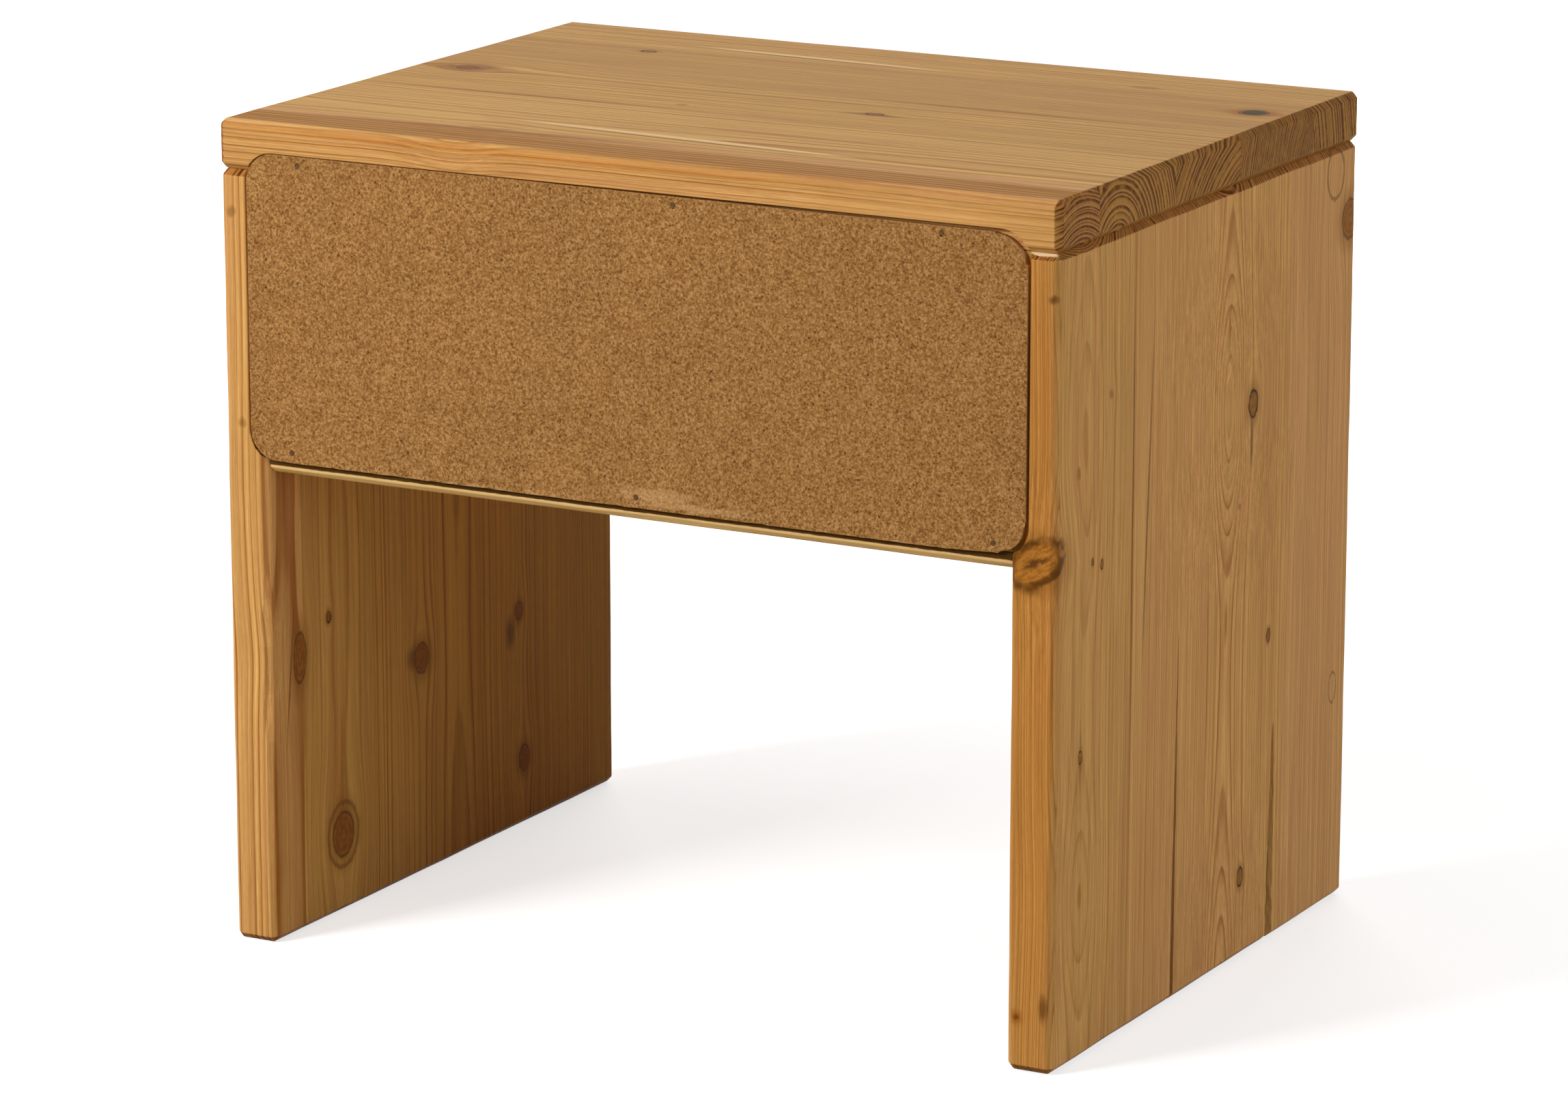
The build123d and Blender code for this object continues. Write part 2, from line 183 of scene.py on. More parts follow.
class StageSettings(bpy.types.PropertyGroup):
    """Camera, lamps and floor"""

    lens: FloatProperty(
        name="Lens", description="Focal length on a 36 mm wide sensor", min=20, max=400, default=144.8,
        subtype="DISTANCE_CAMERA", unit="CAMERA")
    camera_place: FloatVectorProperty(
        name="Camera place", description="Where the camera stands", subtype="TRANSLATION", unit="LENGTH",
        size=3, default=(-1.4742, 2.7264, 0.9592))
    turn: FloatProperty(
        name="Turn", description="How far the camera is turned from square behind the piece",
        subtype="ANGLE", unit="ROTATION", default=math.radians(28.623))
    tilt: FloatProperty(
        name="Tilt", description="How far the camera looks down", subtype="ANGLE", unit="ROTATION",
        default=math.radians(13.987))
    key_power: FloatProperty(
        name="Key lamp", description="Power of the large lamp behind the piece",
        min=0, max=500, default=63, unit="POWER")
    side_power: FloatProperty(
        name="Side lamp", description="Power of the lamp beside the piece",
        min=0, max=500, default=32, unit="POWER")
    top_power: FloatProperty(
        name="Top lamp", description="Power of the soft lamp overhead", min=0, max=500, default=10, unit="POWER")
    front_power: FloatProperty(
        name="Front lamp", description="Power of the lamp that lights the drawer front",
        min=0, max=500, default=50, unit="POWER")
    room_light: FloatProperty(
        name="Room light", description="Strength of the even light of the room", min=0, max=2, default=0.06)


class Graph:
    """Adds nodes to a material and joins them."""

    def __init__(self, tree):
        self.tree = tree
        tree.nodes.clear()

    def add(self, kind, inputs=None, **settings):
        node = self.tree.nodes.new(kind)
        for name, value in settings.items():
            setattr(node, name, value)
        for key, value in (inputs or {}).items():
            self.feed(node.inputs[key], value)
        return node

    def feed(self, socket, value):
        if isinstance(value, bpy.types.NodeSocket):
            self.tree.links.new(value, socket)
        else:
            socket.default_value = (*value, 1) if socket.type == "RGBA" else value

    def math(self, operation, *values, clamp=False):
        node = self.add("ShaderNodeMath", dict(enumerate(values)), operation=operation, use_clamp=clamp)
        return node.outputs[0]

    def times(self, first, second, clamp=False):
        return self.math("MULTIPLY", first, second, clamp=clamp)

    def times_plus(self, value, factor, more):
        return self.math("MULTIPLY_ADD", value, factor, more)

    def gap(self, value, level):
        """How far a value is from a level."""
        return self.math("ABSOLUTE", self.math("SUBTRACT", value, level))

    def vector(self, operation, *values):
        node = self.add("ShaderNodeVectorMath", dict(enumerate(values)), operation=operation)
        return node.outputs[1 if operation in ("LENGTH", "DISTANCE", "DOT_PRODUCT") else 0]

    def split(self, value):
        return self.add("ShaderNodeSeparateXYZ", {0: value}).outputs

    def join(self, *values):
        return self.add("ShaderNodeCombineXYZ", dict(enumerate(values))).outputs[0]

    def same(self, value):
        """A vector that holds one value three times."""
        return self.join(value, value, value)

    def mix(self, share, first, second, blend="MIX"):
        node = self.add("ShaderNodeMix", {0: share, 6: first, 7: second}, data_type="RGBA", blend_type=blend)
        return node.outputs[2]

    def noise(self, place, scale, detail=2.0, roughness=0.5, colour=False):
        """Cloudy noise whose scale, in steps per millimetre, is given for each axis."""
        node = self.add("ShaderNodeTexNoise", {"Vector": self.vector("MULTIPLY", place, scale), "Scale": 1.0,
                                               "Detail": detail, "Roughness": roughness})
        return node.outputs[1 if colour else 0]

    def push(self, place, scale, roughness):
        """Noise that pushes to every side alike: from -0.5 to 0.5 along each axis."""
        return self.vector("SUBTRACT", self.noise(place, scale, 3, roughness, colour=True), (0.5, 0.5, 0.5))

    def ease(self, value, start, end, low=0.0, high=1.0):
        node = self.add("ShaderNodeMapRange", {0: value, 1: start, 2: end, 3: low, 4: high},
                        interpolation_type="SMOOTHSTEP")
        return node.outputs[0]

    def ramp(self, value, *stops):
        node = self.add("ShaderNodeValToRGB", {0: value})
        elements = node.color_ramp.elements
        while len(elements) < len(stops):
            elements.new(0.5)
        for element, (position, level) in zip(elements, stops):
            element.position = position
            element.color = (level, level, level, 1)
        return node.outputs[0]

    def bench(self):
        """Place on the piece in bench millimetres; it moves with the piece."""
        place = self.add("ShaderNodeTexCoord").outputs["Object"]
        return self.vector("MULTIPLY_ADD", place, BENCH_SCALE, BENCH_ORIGIN)

    def hump(self, distance):
        """A smooth hill: 1 at no distance, falling away past a distance of 1."""
        return self.math("EXPONENT", self.times(self.times(distance, distance), -1.0))

    def looked_at(self):
        """1 where the camera, a reflection or clear material looks at a surface, 0 for all other light."""
        path = self.add("ShaderNodeLightPath").outputs
        return self.math("MAXIMUM", path["Is Camera Ray"],
                         self.math("MAXIMUM", path["Is Glossy Ray"], path["Is Transmission Ray"]))

    def nearest(self, place, spots):
        """Distance from the nearest spot in its own reaches: 0 at its centre and 1 on its outline."""
        nearest = FAR
        for centre, reach, *slope in spots:
            away = self.vector("SUBTRACT", place, centre)
            if slope:
                along = self.split(away)[0]
                away = self.vector("MULTIPLY_ADD", self.same(along), (0.0, -slope[0], 0.0), away)
            away = self.vector("DIVIDE", away, reach)
            nearest = self.math("MINIMUM", self.vector("LENGTH", away), nearest)
        return nearest

    def finish(self, colour, roughness, height, relief, distance=0.0004, **sockets):
        bump = self.add("ShaderNodeBump", {"Strength": relief, "Distance": distance, "Height": height})
        inputs = {"Base Color": colour, "Roughness": roughness, "Normal": bump.outputs[0]}
        inputs.update(sockets)
        shader = self.add("ShaderNodeBsdfPrincipled", inputs)
        self.add("ShaderNodeOutputMaterial", {0: shader.outputs[0]})


def new_material(name):
    material = bpy.data.materials.new(name)
    material.use_nodes = True
    return material, Graph(material.node_tree)


# A stave is one strip of a glued board: its far edge, where its pith lies across and through the board, the
# gap between rings, how strong the rings are, its own offset into the grain, and its tint.
def pine_material(name, grain, across, staves, knots=(), marks=(), swells=(), bends=(), sway=4.0, seam=0.7):
    """Solid pine for a board whose grain runs along one bench axis and whose staves lie across another.

    knots: (kind, (along, across, through), (reach along, reach across, reach through))
    marks: the same for streaks, stains, painted shade, painted shadows and painted light, with an optional slope of
    the streak across the grain.
    swells: (centre along, length, push) where the pith comes nearer to the face or goes deeper.
    bends: (centre, reach, push) where the grain is pushed to one side.
    sway: how far the grain wanders; seam: how light the joint between two staves stays.
    """
    finish = bpy.context.scene.pine_finish
    material, g = new_material(name)
    axes = g.split(g.bench())
    through = 3 - grain - across
    place = g.join(axes[grain], axes[across], axes[through])

    # Grain wanders a little, and runs round each knot.
    drift = g.push(place, (1 / 150, 1 / 90, 1 / 90), 0.45)
    wandering = g.vector("MULTIPLY_ADD", drift, (0.0, sway, sway), place)
    bent = wandering
    for kind, centre, reach in knots:
        away = g.vector("SUBTRACT", place, centre)
        wide = (reach[0] * 3.2, reach[1] * 2.0, reach[2] * 1.5)
        pull = g.times(g.hump(g.vector("LENGTH", g.vector("DIVIDE", away, wide))), -0.8)
        bent = g.vector("MULTIPLY_ADD", away, g.join(0.0, pull, 0.0), bent)
    for centre, length, push in swells:
        hump = g.hump(g.math("DIVIDE", g.math("SUBTRACT", axes[grain], centre), length))
        bent = g.vector("MULTIPLY_ADD", g.join(0.0, 0.0, hump), (0.0, 0.0, push), bent)
    for centre, reach, push in bends:
        hump = g.hump(g.vector("LENGTH", g.vector("DIVIDE", g.vector("SUBTRACT", place, centre), reach)))
        bent = g.vector("MULTIPLY_ADD", g.same(hump), push, bent)

    # Each stave is from another tree: its own pith, ring gap, strength and tint.
    values = [((1 / gap, pith, depth), (strength, seed, 0.0), tint)
              for edge, pith, depth, gap, strength, seed, tint in staves]
    now, glue = list(values[0]), FAR
    for index, (edge, *_) in enumerate(staves[:-1]):
        beyond = g.same(g.math("GREATER_THAN", axes[across], float(edge)))
        for kind in range(3):
            step = tuple(new - old for new, old in zip(values[index + 1][kind], values[index][kind]))
            now[kind] = g.vector("MULTIPLY_ADD", beyond, step, now[kind])
        glue = g.math("MINIMUM", g.gap(axes[across], float(edge)), glue)
    pitch, character, tint = g.split(now[0]), g.split(now[1]), now[2]
    offset = g.join(character[1], 0.0, 0.0)

    # Sawn ends drink more finish: they are darker, and their rings stand out.
    facing = g.add("ShaderNodeTexCoord").outputs["Normal"]
    end = g.ease(g.math("ABSOLUTE", g.split(facing)[grain]), 0.3, 0.6)

    # Rings: distance from the pith, counted in rings, with a soft start and a sharp end to each.
    to_pith = g.vector("SUBTRACT", bent, g.join(0.0, pitch[1], pitch[2]))
    radius = g.vector("LENGTH", g.vector("MULTIPLY", to_pith, (0.0, 1.0, 1.0)))
    uneven = g.noise(g.vector("ADD", place, offset), (1 / 400, 0.0, 0.0), detail=1)
    count = g.times_plus(radius, pitch[0], g.times(uneven, 3.0))
    growth = g.add("ShaderNodeTexNoise", {"W": g.math("ADD", g.times(count, 0.33), character[1]),
                                          "Scale": 1.0, "Detail": 1.0}, noise_dimensions="1D").outputs[0]
    count = g.times_plus(growth, 2.2, count)
    ring = g.math("FLOOR", count)
    within = g.math("SUBTRACT", count, ring)
    chance = g.add("ShaderNodeTexWhiteNoise", {"W": g.math("ADD", ring, character[1])},
                   noise_dimensions="1D").outputs["Value"]
    line = g.ramp(within, (0.0, 0.06), (0.05, 0.0), (0.42, 0.08), (0.72, 0.4), (0.89, 1.0), (0.96, 0.95), (1.0, 0.08))
    strength = g.times(character[0], g.times_plus(chance, 0.95, 0.2))
    strength = g.times(strength, g.times_plus(end, 1.8, 1.0))
    late = g.times(line, strength, clamp=True)

    # Fibres, flecks and slow changes of tone and hue.
    long_place = g.vector("ADD", bent, offset)
    streak = g.noise(long_place, (1 / 500, 0.6, 0.6), detail=3, roughness=0.6)
    fibre = g.noise(long_place, (1 / 70, 1.9, 1.9), detail=4, roughness=0.65)
    fleck = g.noise(long_place, (1 / 6, 3.0, 3.0), detail=2, roughness=0.6)
    cloud = g.noise(long_place, (1 / 130, 1 / 22, 1 / 22), detail=3, roughness=0.55)
    colour = g.mix(late, finish.early_wood, finish.late_wood)
    colour = g.mix(g.times(late, end), colour, DETAIL["end_ring"])
    hue = g.noise(long_place, (1 / 240, 1 / 9, 1 / 9), detail=2, roughness=0.5)
    colour = g.mix(g.ease(hue, 0.5, 0.75, 0.0, 0.5), colour, finish.rosy_wood)
    colour = g.mix(g.ease(hue, 0.5, 0.25, 0.0, 0.5), colour, finish.straw_wood)
    tone = g.times_plus(fibre, 1.06, 0.48)
    for layer, gain, base in ((streak, 0.94, 0.54), (fleck, 0.44, 0.79), (cloud, 0.3, 0.86),
                              (chance, 0.12, 0.94), (end, -0.4, 1.0)):
        tone = g.times(tone, g.times_plus(layer, gain, base))
    tone = g.times(tone, g.ease(glue, 0.12, 0.45, seam, 1.0))
    # Wood turns redder as it gets darker.
    tint = g.vector("MULTIPLY", tint, g.join(g.math("POWER", tone, 0.8), tone, g.math("POWER", tone, 1.15)))
    end_tint = g.vector("MULTIPLY_ADD", g.same(end), (0.08, 0.0, -0.2), (1.0, 1.0, 1.0))
    tint = g.vector("MULTIPLY", tint, end_tint)
    colour = g.mix(1.0, colour, tint, "MULTIPLY")

    # Knots and marks have ragged outlines.
    ragged = g.push(place, (0.16, 0.3, 0.3), 0.6)
    rough_place = g.vector("MULTIPLY_ADD", ragged, (3.4, 2.6, 2.0), place)
    fine_place = g.vector("MULTIPLY_ADD", ragged, (3.0, 0.8, 0.8), place)
    grain_share = g.times_plus(fibre, 0.9, 0.55)

    def spots(source, *kinds):
        return [spot[1:] for spot in source if spot[0] in kinds]

    # Marks are mixed over the wood: real stains, and also painted shade, painted shadows and painted light where such
    # marks are placed.
    for kind, (strength, inner, stain) in (STAINS_AND_PAINTED_LIGHT | GLAZES).items():
        found = spots(marks, kind)
        if not found:
            continue
        cover = g.ease(g.nearest(fine_place, found), inner, 1.0, strength, 0.0)
        if kind in GLAZES:
            colour = g.mix(cover, colour, stain, "MULTIPLY")
        else:
            colour = g.mix(g.times(cover, grain_share, clamp=True), colour, stain)
    banded = spots(marks, "banded")
    if banded:
        wave = g.noise(place, (1 / 60, 1 / 30, 1 / 30), detail=2)
        lie = g.times_plus(wave, 7.0, g.split(bent)[1])
        pale = g.ramp(g.math("FRACT", g.times(lie, 0.21)), (0.0, 0.0), (0.34, 0.0), (0.5, 1.0), (0.64, 0.0))
        weak = g.ease(g.noise(place, (1 / 90, 1 / 5, 1 / 5)), 0.3, 0.5)
        band = g.mix(g.times(pale, weak), DETAIL["band_dark"], DETAIL["band_pale"])
        cover = g.ease(g.nearest(fine_place, banded), 0.75, 1.0, 0.92, 0.0)
        colour = g.mix(g.times(cover, g.times_plus(fibre, 0.3, 0.8), clamp=True), colour, band)
    ovals = spots(marks, "oval")
    if ovals:
        rim = g.gap(g.nearest(rough_place, ovals), 1.0)
        colour = g.mix(g.ease(rim, 0.03, 0.12, 0.6, 0.0), colour, DETAIL["oval_rim"])
    live = spots(knots, "brown", "dark", "filled", "orange")
    if live:
        near = g.nearest(rough_place, live)
        halo = g.ease(near, 0.9, 2.2, 0.5, 0.0)
        colour = g.mix(g.times(halo, grain_share, clamp=True), colour, DETAIL["knot_halo"])
        rings = g.math("SINE", g.times_plus(near, 17.0, g.times(cloud, 6.0)))
        patch = g.ease(g.noise(place, (0.3, 0.36, 0.2), detail=2), 0.4, 0.6)
        heart = g.mix(g.times_plus(rings, 0.18, 0.35), finish.knot_heart, finish.knot)
        heart = g.mix(g.times(patch, 0.5), heart, finish.knot)
        colour = g.mix(g.ease(near, 0.84, 1.05, 0.95, 0.0), colour, heart)
        edge_line = g.gap(near, 1.0)
        colour = g.mix(g.ease(edge_line, 0.02, 0.14, 0.7, 0.0), colour, DETAIL["knot_outline"])
    orange = spots(knots, "orange")
    if orange:
        # A knot that breaks through an edge lies askew: it climbs as it goes through the board.
        climb = 0.42
        askew = g.vector("MULTIPLY_ADD", g.join(axes[through], 0.0, 0.0), (-climb, 0.0, 0.0), rough_place)
        orange = [((c[0] - climb * c[2], c[1], c[2]), r) for c, r in orange]
        near = g.nearest(askew, orange)
        swirl = g.noise(askew, (0.5, 0.3, 0.16), detail=4, roughness=0.65)
        warm = g.mix(g.ease(swirl, 0.38, 0.62, 0.0, 0.75), DETAIL["resin_pale"], DETAIL["resin_dark"])
        blot = g.nearest(askew, [((c[0] + 0.4, c[1], c[2]), (r[0] * 0.26, r[1], r[2] * 0.6)) for c, r in orange])
        warm = g.mix(g.times(g.ease(blot, 0.5, 1.2, 1.0, 0.0), g.ease(swirl, 0.36, 0.5, 0.3, 0.95)),
                     warm, DETAIL["resin_blot"])
        colour = g.mix(g.times(g.ease(near, 0.8, 1.05, 0.9, 0.0), 0.95), colour, warm)
        # The grain closes round it in dark brows, which break off here and there.
        brow = g.gap(near, 1.1)
        broken = g.ease(g.noise(place, (0.14, 0.2, 0.2), detail=2), 0.36, 0.56, 0.15, 0.85)
        colour = g.mix(g.times(g.ease(brow, 0.04, 0.34, 1.0, 0.0), broken), colour, DETAIL["brow"])
    dead = spots(knots, "dark")
    if dead:
        rim = g.gap(g.nearest(rough_place, dead), 0.94)
        broken = g.ease(g.noise(place, (0.28, 0.4, 0.4), detail=1), 0.36, 0.5, 0.3, 1.0)
        colour = g.mix(g.times(g.ease(rim, 0.05, 0.2, 0.95, 0.0), broken), colour, finish.knot_rim)
    faint = spots(knots, "faint")
    if faint:
        colour = g.mix(g.ease(g.nearest(rough_place, faint), 0.4, 1.3, 0.5, 0.0), colour, finish.knot)
    filled = spots(knots, "filled")
    if filled:
        putty = g.ease(g.nearest(rough_place, filled), 0.8, 0.95, 1.0, 0.0)
        speckled = g.mix(g.ease(fleck, 0.3, 0.75), finish.filler, DETAIL["putty_speck"])
        colour = g.mix(putty, colour, speckled)

    # The relief has few nodes of its own, because Blender works it out three times.
    height = g.noise(wandering, (1 / 70, 1.9, 1.9), detail=4, roughness=0.65)
    roughness = g.times_plus(fibre, 0.16, finish.sheen_roughness - 0.08)
    g.finish(colour, roughness, height, finish.relief, **{"Specular IOR Level": 0.03})
    return material


def hardboard_material(name, scuffs=()):
    """Pressed wood fibre: a matt brown felt of pale and dark fibres, with sawn edges that are paler."""
    finish = bpy.context.scene.hardboard_finish
    material, g = new_material(name)
    place = g.bench()
    felt = g.noise(place, (0.9, 0.9, 0.9), detail=4, roughness=0.75)
    grit = g.noise(place, (2.6, 2.6, 2.6), detail=2, roughness=0.6)
    cloud = g.noise(place, (1 / 45, 1 / 45, 1 / 45), detail=3)
    colour = g.mix(g.ease(felt, 0.5, 0.62, 0.0, 1.0), finish.ground, finish.pale_fibre)
    colour = g.mix(g.ease(felt, 0.48, 0.36, 0.0, 1.0), colour, finish.dark_fibre)
    speck = g.add("ShaderNodeTexVoronoi", {"Vector": place, "Scale": 0.16}).outputs
    dark_speck = g.ease(speck["Distance"], 0.05, 0.14, 0.85, 0.0)
    colour = g.mix(dark_speck, colour, paint(70, 44, 22))
    chips = g.add("ShaderNodeTexVoronoi", {"Vector": g.vector("ADD", place, (31.0, 7.0, 13.0)), "Scale": 0.3}).outputs
    colour = g.mix(g.ease(chips["Distance"], 0.06, 0.2, 0.5, 0.0), colour, finish.pale_fibre)
    tone = g.times(g.times_plus(grit, 0.62, 0.68), g.times_plus(cloud, 0.24, 0.88))
    colour = g.mix(1.0, colour, g.same(tone), "MULTIPLY")
    if scuffs:
        tear = g.noise(place, (0.12, 0.1, 0.4), detail=4, colour=True)
        torn = g.vector("MULTIPLY_ADD", tear, (26.0, 0.0, 7.0), place)
        rub = g.ease(g.nearest(g.vector("SUBTRACT", torn, (13.0, 0.0, 3.5)), scuffs), 0.3, 1.0, 0.85, 0.0)
        colour = g.mix(g.times(rub, felt), colour, paint(218, 172, 120))
    facing = g.split(g.add("ShaderNodeTexCoord").outputs["Normal"])
    flat = g.math("MAXIMUM", g.math("ABSOLUTE", facing[1]), g.math("ABSOLUTE", facing[2]))
    edge = g.ease(flat, 0.98, 0.7, 0.0, 0.8)
    colour = g.mix(edge, colour, finish.pale_fibre)
    height = g.math("ADD", felt, grit)
    g.finish(colour, g.times_plus(grit, 0.2, 0.62), height, 0.35, 0.0003, **{"Specular IOR Level": 0.1})
    return material


def steel_material():
    """Plain steel, a little dull and stained."""
    material, g = new_material("bright_steel")
    place = g.bench()
    stain = g.noise(place, (0.7, 0.7, 0.7), detail=4, roughness=0.6)
    colour = g.mix(g.ease(stain, 0.35, 0.7), paint(112, 80, 48), paint(66, 45, 24))
    g.finish(colour, g.times_plus(stain, 0.3, 0.45), stain, 0.15, 0.0002, Metallic=0.1,
             **{"Specular IOR Level": 0.1})
    return material


def beech_material():
    """Beech dowel wood: even, pinkish, with short ray flecks."""
    material, g = new_material("beech")
    place = g.bench()
    grain = g.noise(place, (0.3, 0.9, 0.9), detail=4, roughness=0.6)
    ray = g.noise(place, (0.8, 2.4, 2.4), detail=1)
    colour = g.mix(g.ease(grain, 0.3, 0.7), paint(214, 170, 126), paint(188, 140, 98))
    colour = g.mix(g.ease(ray, 0.6, 0.72, 0.0, 0.5), colour, paint(160, 112, 72))
    g.finish(colour, g.times_plus(grain, 0.15, 0.5), grain, 0.2)
    return material


def repaint(material, *nodes):
    """Gives nodes of the frame a new material, and leaves their meshes alone."""
    for node in nodes:
        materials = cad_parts[node].data.materials
        materials.clear()
        materials.append(material)


def finished_piece(name, mesh, material, node, body):
    """Puts a finished mesh in place of a node of the frame."""
    piece = bpy.data.objects.new(name, mesh)
    bpy.context.scene.collection.objects.link(piece)
    mesh.materials.clear()
    mesh.materials.append(material)
    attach(piece, body)
    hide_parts(node)


def shaped_board(node, spacing=0.012, arris=0.003, seed=0.0, wander=1.0, bulge=None, reshape=None):
    """A board of the frame with arrises that wander a little and softened corners, as a mesh.

    spacing: distance between the cuts that let an arris wander; arris: width of the frame's chamfers.
    wander: share of the usual wander; bulge: how far an arris goes in at a place.
    reshape: a last move of each vertex.
    """
    shape = bpy.context.scene.board_shape
    too_thin, flat_angle, sharp_angle = 0.03, math.radians(0.4), math.radians(25)
    low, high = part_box(node)
    work = bmesh.new()
    work.from_mesh(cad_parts[node].data)
    bmesh.ops.remove_doubles(work, verts=work.verts, dist=SAME_POINT)
    bmesh.ops.dissolve_limit(work, angle_limit=flat_angle, verts=work.verts, edges=work.edges)
    sizes = high - low
    for axis in range(3):
        if sizes[axis] < too_thin:
            continue
        normal = Vector([1.0 if i == axis else 0.0 for i in range(3)])
        count = int((sizes[axis] - 4 * arris) / spacing)
        for index in range(count + 1):
            at = low[axis] + 2 * arris + (sizes[axis] - 4 * arris) * index / count
            everything = work.verts[:] + work.edges[:] + work.faces[:]
            bmesh.ops.bisect_plane(work, geom=everything, dist=SAME_POINT, plane_co=normal * at, plane_no=normal)

    close = 2e-5
    for vert in work.verts:
        off = [min(vert.co[i] - low[i], high[i] - vert.co[i]) for i in range(3)]
        for edge_axis in range(3):
            one, two = [i for i in range(3) if i != edge_axis]
            for face_axis, arris_axis in ((one, two), (two, one)):
                if off[face_axis] < close and abs(off[arris_axis] - arris) < close:
                    inward = -1 if vert.co[arris_axis] > (low[arris_axis] + high[arris_axis]) / 2 else 1
                    ripple = noise.noise(vert.co * 23 + Vector((seed, face_axis * 5.0, arris_axis * 9.0)))
                    fine = noise.noise(vert.co * 90 + Vector((face_axis * 3.0, seed, arris_axis * 7.0)))
                    push = shape.wander * wander * (0.8 * ripple + 0.3 * fine)
                    if bulge:
                        push += bulge(vert.co, face_axis)
                    vert.co[arris_axis] += inward * push
    sharp = [e for e in work.edges if len(e.link_faces) == 2 and e.calc_face_angle(0) > sharp_angle]
    bmesh.ops.bevel(work, geom=sharp, offset=shape.soft_edge, offset_type="OFFSET", segments=2, profile=0.5,
                    affect="EDGES", clamp_overlap=False)
    for face in work.faces:
        face.smooth = False
    if reshape:
        for vert in work.verts:
            vert.co += reshape(vert.co)
    # The rounding leaves points on top of each other in the corners.
    bmesh.ops.remove_doubles(work, verts=work.verts, dist=2 * SAME_POINT)
    mesh = bpy.data.meshes.new(node + "_mesh")
    work.to_mesh(mesh)
    work.free()
    return mesh


def board_piece(name, node, material, body, slot, **shape):
    """Shapes a board of the frame and puts it in place."""
    finished_piece(name, shaped_board(node, **shape), material, node, body)


def wedge(name, foot_v, tip_v, tip_w, width, depth):
    """A long thin wedge that cuts a check into the left side board, widest at the floor. Sizes in millimetres."""
    work = bmesh.new()
    rings = []
    steps, below_floor, outside = 34, 2, LEFT_FACE + 1.0
    for index in range(steps + 1):
        share = index / steps
        height = tip_w * share - below_floor * (1 - share)
        middle = foot_v + (tip_v - foot_v) * share + 0.35 * noise.noise(Vector((share * 9, foot_v, 0)))
        opening = max(width * (1 - share) ** 0.5 * (1 + 0.3 * noise.noise(Vector((share * 21, foot_v, 4)))), 0.03)
        deep = max(depth * (1 - share) ** 0.5, 0.4)
        lean = 0.5 * noise.noise(Vector((share * 6, foot_v, 8)))
        over = 1.0 + 0.6 / deep
        low_half = opening * 0.22
        rings.append([work.verts.new(from_bench(outside, middle - opening / 2 * over, height)),
                      work.verts.new(from_bench(outside, middle + opening / 2 * over, height)),
                      work.verts.new(from_bench(LEFT_FACE - deep, middle + lean + low_half, height)),
                      work.verts.new(from_bench(LEFT_FACE - deep, middle + lean - low_half, height))])
    for lower, upper in zip(rings, rings[1:]):
        for i in range(4):
            j = (i + 1) % 4
            work.faces.new((lower[i], lower[j], upper[j], upper[i]))
    work.faces.new(rings[0][::-1])
    work.faces.new(rings[-1])
    bmesh.ops.recalc_face_normals(work, faces=work.faces)
    mesh = bpy.data.meshes.new(name)
    work.to_mesh(mesh)
    work.free()
    cutter = bpy.data.objects.new(name, mesh)
    bpy.context.scene.collection.objects.link(cutter)
    return cutter


def cut_with(mesh, cutters):
    """The mesh with the cutters taken out of it. The cutters are used up."""
    blank = bpy.data.objects.new("blank", mesh)
    bpy.context.scene.collection.objects.link(blank)
    for cutter in cutters:
        modifier = blank.modifiers.new(cutter.name, "BOOLEAN")
        modifier.operation = "DIFFERENCE"
        modifier.solver = "EXACT"
        modifier.object = cutter
    bpy.context.view_layer.update()
    result = bpy.data.meshes.new_from_object(blank.evaluated_get(bpy.context.evaluated_depsgraph_get()))
    for used in [blank] + cutters:
        old = used.data
        bpy.data.objects.remove(used)
        bpy.data.meshes.remove(old)
    return result


